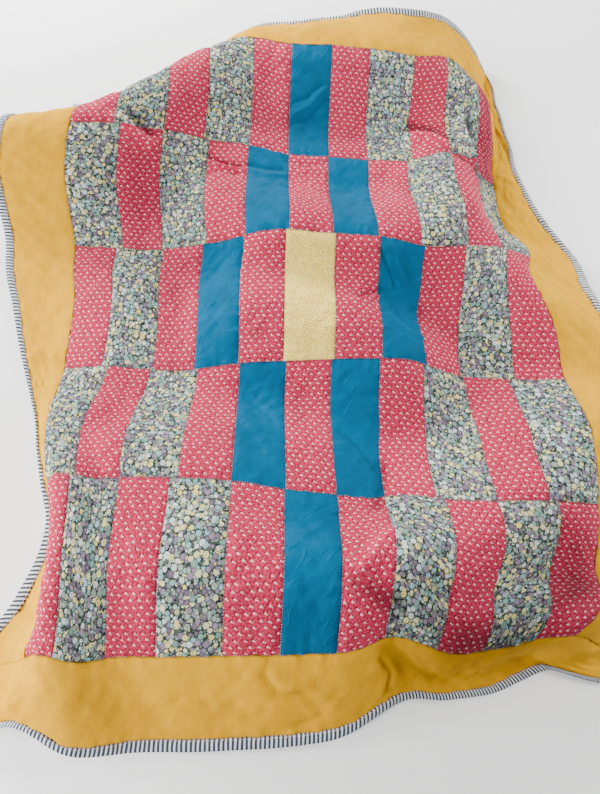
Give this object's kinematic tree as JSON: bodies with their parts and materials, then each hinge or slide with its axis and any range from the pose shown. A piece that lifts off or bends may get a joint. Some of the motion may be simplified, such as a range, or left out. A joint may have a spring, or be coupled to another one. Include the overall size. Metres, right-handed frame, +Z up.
{
  "type": "patchwork crib quilt with plain border and ticking binding",
  "caption": "Patchwork quilt of upright rectangles with a plain wide border and a narrow striped binding, lying in soft uneven folds.",
  "frame": {"origin": "on the floor, below the middle of the quilt's box as it lies", "axes": "+X to the right and +Y to the far edge as the patchwork is seen, +Z up from the floor"},
  "size_m": [0.8851, 1.0828, 0.1078],
  "materials": {
    "patchwork": "matte printed cotton",
    "border": "matte plain cotton",
    "binding": "matte striped ticking"
  },
  "bodies": {
    "root": {"row_1": "patchwork", "row_2": "patchwork", "row_3": "patchwork", "row_4": "patchwork", "row_5": "patchwork", "border_top": "border", "border_bottom": "border", "border_left": "border", "border_right": "border", "binding_top": "binding", "binding_bottom": "binding", "binding_left": "binding", "binding_right": "binding"}
  },
  "joints": []
}
